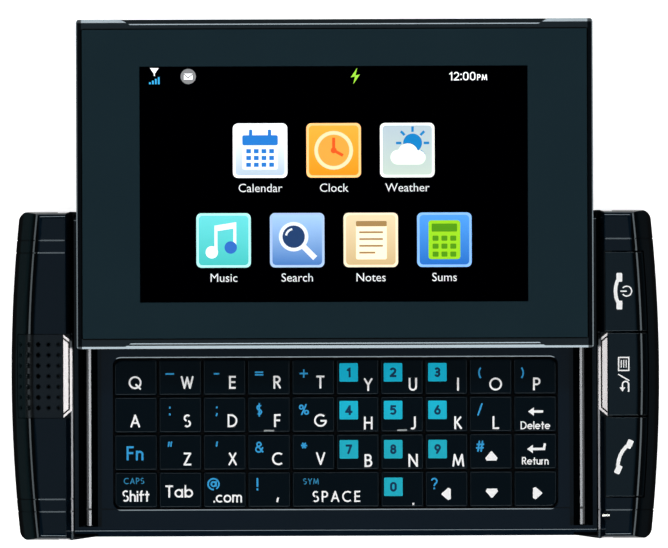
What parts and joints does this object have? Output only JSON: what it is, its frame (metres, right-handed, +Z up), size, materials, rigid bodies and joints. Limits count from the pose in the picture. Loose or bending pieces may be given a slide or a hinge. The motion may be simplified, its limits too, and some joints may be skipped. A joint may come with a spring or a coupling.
{
  "type": "slider phone",
  "caption": "Phone on its back with its display slab slid open on rails above a thumb keyboard; end bars hold an earpiece grille and call keys.",
  "frame": {"origin": "centre of the base's back face, which is what the phone lies on", "axes": "+Z up through the thickness to the screen, +X along the length towards the call keys, +Y the way the display slab slides to open"},
  "size_m": [0.11, 0.0883, 0.016],
  "materials": {
    "housing": "fine satin texture, black with a blue cast",
    "door": "fine satin texture, black",
    "deck": "piano gloss, blue-black",
    "end_bar": "piano gloss, blue-black",
    "grille": "satin, dimpled",
    "trim": "bright chrome plate",
    "rail_steel": "drawn, satin",
    "plate_steel": "black-coated pressed steel",
    "mat": "silicone rubber",
    "board": "glass-fibre board with solder mask",
    "cell": "aluminium pouch with a plain sleeve",
    "camera": "black with a coated lens",
    "speaker": "moulded",
    "screw_steel": "black-plated",
    "front_key": "gloss, blue-black",
    "slab_frame": "gloss, dark blue-grey",
    "window": "hard-coated clear window over a dark border print",
    "panel": "display module",
    "key_cap": "gloss, near black"
  },
  "bodies": {
    "base": {"rear_housing": "housing", "keyboard_deck": "deck", "left_end_cover": "end_bar", "right_end_cover": "end_bar", "earpiece_grille": "grille", "trim_strips": "trim", "slide_rails": "rail_steel", "keypad_mat": "mat", "main_board": "board", "battery": "cell", "camera_module": "camera", "earpiece_speaker": "speaker", "housing_screws": "screw_steel"},
    "slab": {"display_frame": "slab_frame", "touch_window": "window", "display_panel": "panel", "slide_plate": "plate_steel"},
    "battery_door": {"battery_door": "door"},
    "end_key": {"end_key": "front_key"},
    "menu_key": {"menu_key": "front_key"},
    "send_key": {"send_key": "front_key"},
    "key_q": {"key_q": "key_cap"},
    "key_w": {"key_w": "key_cap"},
    "key_e": {"key_e": "key_cap"},
    "key_r": {"key_r": "key_cap"},
    "key_t": {"key_t": "key_cap"},
    "key_y": {"key_y": "key_cap"},
    "key_u": {"key_u": "key_cap"},
    "key_i": {"key_i": "key_cap"},
    "key_o": {"key_o": "key_cap"},
    "key_p": {"key_p": "key_cap"},
    "key_a": {"key_a": "key_cap"},
    "key_s": {"key_s": "key_cap"},
    "key_d": {"key_d": "key_cap"},
    "key_f": {"key_f": "key_cap"},
    "key_g": {"key_g": "key_cap"},
    "key_h": {"key_h": "key_cap"},
    "key_j": {"key_j": "key_cap"},
    "key_k": {"key_k": "key_cap"},
    "key_l": {"key_l": "key_cap"},
    "key_delete": {"key_delete": "key_cap"},
    "key_fn": {"key_fn": "key_cap"},
    "key_z": {"key_z": "key_cap"},
    "key_x": {"key_x": "key_cap"},
    "key_c": {"key_c": "key_cap"},
    "key_v": {"key_v": "key_cap"},
    "key_b": {"key_b": "key_cap"},
    "key_n": {"key_n": "key_cap"},
    "key_m": {"key_m": "key_cap"},
    "key_up": {"key_up": "key_cap"},
    "key_return": {"key_return": "key_cap"},
    "key_shift": {"key_shift": "key_cap"},
    "key_tab": {"key_tab": "key_cap"},
    "key_dot_com": {"key_dot_com": "key_cap"},
    "key_comma": {"key_comma": "key_cap"},
    "key_space": {"key_space": "key_cap"},
    "key_period": {"key_period": "key_cap"},
    "key_left": {"key_left": "key_cap"},
    "key_down": {"key_down": "key_cap"},
    "key_right": {"key_right": "key_cap"}
  },
  "joints": [
    {"name": "display_slide", "type": "slide", "parent": "base", "child": "slab", "axis": [0, 1, 0], "range_m": [-0.03248, 0]},
    {"name": "end_key_press", "type": "slide", "parent": "base", "child": "end_key", "axis": [0, 0, 1], "range_m": [-0.00035, 0], "stiffness_N_per_m": 300},
    {"name": "menu_key_press", "type": "slide", "parent": "base", "child": "menu_key", "axis": [0, 0, 1], "range_m": [-0.00035, 0], "stiffness_N_per_m": 300},
    {"name": "send_key_press", "type": "slide", "parent": "base", "child": "send_key", "axis": [0, 0, 1], "range_m": [-0.00035, 0], "stiffness_N_per_m": 300},
    {"name": "battery_door_lift", "type": "slide", "parent": "base", "child": "battery_door", "axis": [0, 0, -1], "range_m": [0, 0.012]},
    {"name": "press_q", "type": "slide", "parent": "base", "child": "key_q", "axis": [0, 0, 1], "range_m": [-0.0003, 0], "stiffness_N_per_m": 300},
    {"name": "press_w", "type": "slide", "parent": "base", "child": "key_w", "axis": [0, 0, 1], "range_m": [-0.0003, 0], "stiffness_N_per_m": 300},
    {"name": "press_e", "type": "slide", "parent": "base", "child": "key_e", "axis": [0, 0, 1], "range_m": [-0.0003, 0], "stiffness_N_per_m": 300},
    {"name": "press_r", "type": "slide", "parent": "base", "child": "key_r", "axis": [0, 0, 1], "range_m": [-0.0003, 0], "stiffness_N_per_m": 300},
    {"name": "press_t", "type": "slide", "parent": "base", "child": "key_t", "axis": [0, 0, 1], "range_m": [-0.0003, 0], "stiffness_N_per_m": 300},
    {"name": "press_y", "type": "slide", "parent": "base", "child": "key_y", "axis": [0, 0, 1], "range_m": [-0.0003, 0], "stiffness_N_per_m": 300},
    {"name": "press_u", "type": "slide", "parent": "base", "child": "key_u", "axis": [0, 0, 1], "range_m": [-0.0003, 0], "stiffness_N_per_m": 300},
    {"name": "press_i", "type": "slide", "parent": "base", "child": "key_i", "axis": [0, 0, 1], "range_m": [-0.0003, 0], "stiffness_N_per_m": 300},
    {"name": "press_o", "type": "slide", "parent": "base", "child": "key_o", "axis": [0, 0, 1], "range_m": [-0.0003, 0], "stiffness_N_per_m": 300},
    {"name": "press_p", "type": "slide", "parent": "base", "child": "key_p", "axis": [0, 0, 1], "range_m": [-0.0003, 0], "stiffness_N_per_m": 300},
    {"name": "press_a", "type": "slide", "parent": "base", "child": "key_a", "axis": [0, 0, 1], "range_m": [-0.0003, 0], "stiffness_N_per_m": 300},
    {"name": "press_s", "type": "slide", "parent": "base", "child": "key_s", "axis": [0, 0, 1], "range_m": [-0.0003, 0], "stiffness_N_per_m": 300},
    {"name": "press_d", "type": "slide", "parent": "base", "child": "key_d", "axis": [0, 0, 1], "range_m": [-0.0003, 0], "stiffness_N_per_m": 300},
    {"name": "press_f", "type": "slide", "parent": "base", "child": "key_f", "axis": [0, 0, 1], "range_m": [-0.0003, 0], "stiffness_N_per_m": 300},
    {"name": "press_g", "type": "slide", "parent": "base", "child": "key_g", "axis": [0, 0, 1], "range_m": [-0.0003, 0], "stiffness_N_per_m": 300},
    {"name": "press_h", "type": "slide", "parent": "base", "child": "key_h", "axis": [0, 0, 1], "range_m": [-0.0003, 0], "stiffness_N_per_m": 300},
    {"name": "press_j", "type": "slide", "parent": "base", "child": "key_j", "axis": [0, 0, 1], "range_m": [-0.0003, 0], "stiffness_N_per_m": 300},
    {"name": "press_k", "type": "slide", "parent": "base", "child": "key_k", "axis": [0, 0, 1], "range_m": [-0.0003, 0], "stiffness_N_per_m": 300},
    {"name": "press_l", "type": "slide", "parent": "base", "child": "key_l", "axis": [0, 0, 1], "range_m": [-0.0003, 0], "stiffness_N_per_m": 300},
    {"name": "press_delete", "type": "slide", "parent": "base", "child": "key_delete", "axis": [0, 0, 1], "range_m": [-0.0003, 0], "stiffness_N_per_m": 300},
    {"name": "press_fn", "type": "slide", "parent": "base", "child": "key_fn", "axis": [0, 0, 1], "range_m": [-0.0003, 0], "stiffness_N_per_m": 300},
    {"name": "press_z", "type": "slide", "parent": "base", "child": "key_z", "axis": [0, 0, 1], "range_m": [-0.0003, 0], "stiffness_N_per_m": 300},
    {"name": "press_x", "type": "slide", "parent": "base", "child": "key_x", "axis": [0, 0, 1], "range_m": [-0.0003, 0], "stiffness_N_per_m": 300},
    {"name": "press_c", "type": "slide", "parent": "base", "child": "key_c", "axis": [0, 0, 1], "range_m": [-0.0003, 0], "stiffness_N_per_m": 300},
    {"name": "press_v", "type": "slide", "parent": "base", "child": "key_v", "axis": [0, 0, 1], "range_m": [-0.0003, 0], "stiffness_N_per_m": 300},
    {"name": "press_b", "type": "slide", "parent": "base", "child": "key_b", "axis": [0, 0, 1], "range_m": [-0.0003, 0], "stiffness_N_per_m": 300},
    {"name": "press_n", "type": "slide", "parent": "base", "child": "key_n", "axis": [0, 0, 1], "range_m": [-0.0003, 0], "stiffness_N_per_m": 300},
    {"name": "press_m", "type": "slide", "parent": "base", "child": "key_m", "axis": [0, 0, 1], "range_m": [-0.0003, 0], "stiffness_N_per_m": 300},
    {"name": "press_up", "type": "slide", "parent": "base", "child": "key_up", "axis": [0, 0, 1], "range_m": [-0.0003, 0], "stiffness_N_per_m": 300},
    {"name": "press_return", "type": "slide", "parent": "base", "child": "key_return", "axis": [0, 0, 1], "range_m": [-0.0003, 0], "stiffness_N_per_m": 300},
    {"name": "press_shift", "type": "slide", "parent": "base", "child": "key_shift", "axis": [0, 0, 1], "range_m": [-0.0003, 0], "stiffness_N_per_m": 300},
    {"name": "press_tab", "type": "slide", "parent": "base", "child": "key_tab", "axis": [0, 0, 1], "range_m": [-0.0003, 0], "stiffness_N_per_m": 300},
    {"name": "press_dot_com", "type": "slide", "parent": "base", "child": "key_dot_com", "axis": [0, 0, 1], "range_m": [-0.0003, 0], "stiffness_N_per_m": 300},
    {"name": "press_comma", "type": "slide", "parent": "base", "child": "key_comma", "axis": [0, 0, 1], "range_m": [-0.0003, 0], "stiffness_N_per_m": 300},
    {"name": "press_space", "type": "slide", "parent": "base", "child": "key_space", "axis": [0, 0, 1], "range_m": [-0.0003, 0], "stiffness_N_per_m": 300},
    {"name": "press_period", "type": "slide", "parent": "base", "child": "key_period", "axis": [0, 0, 1], "range_m": [-0.0003, 0], "stiffness_N_per_m": 300},
    {"name": "press_left", "type": "slide", "parent": "base", "child": "key_left", "axis": [0, 0, 1], "range_m": [-0.0003, 0], "stiffness_N_per_m": 300},
    {"name": "press_down", "type": "slide", "parent": "base", "child": "key_down", "axis": [0, 0, 1], "range_m": [-0.0003, 0], "stiffness_N_per_m": 300},
    {"name": "press_right", "type": "slide", "parent": "base", "child": "key_right", "axis": [0, 0, 1], "range_m": [-0.0003, 0], "stiffness_N_per_m": 300}
  ]
}
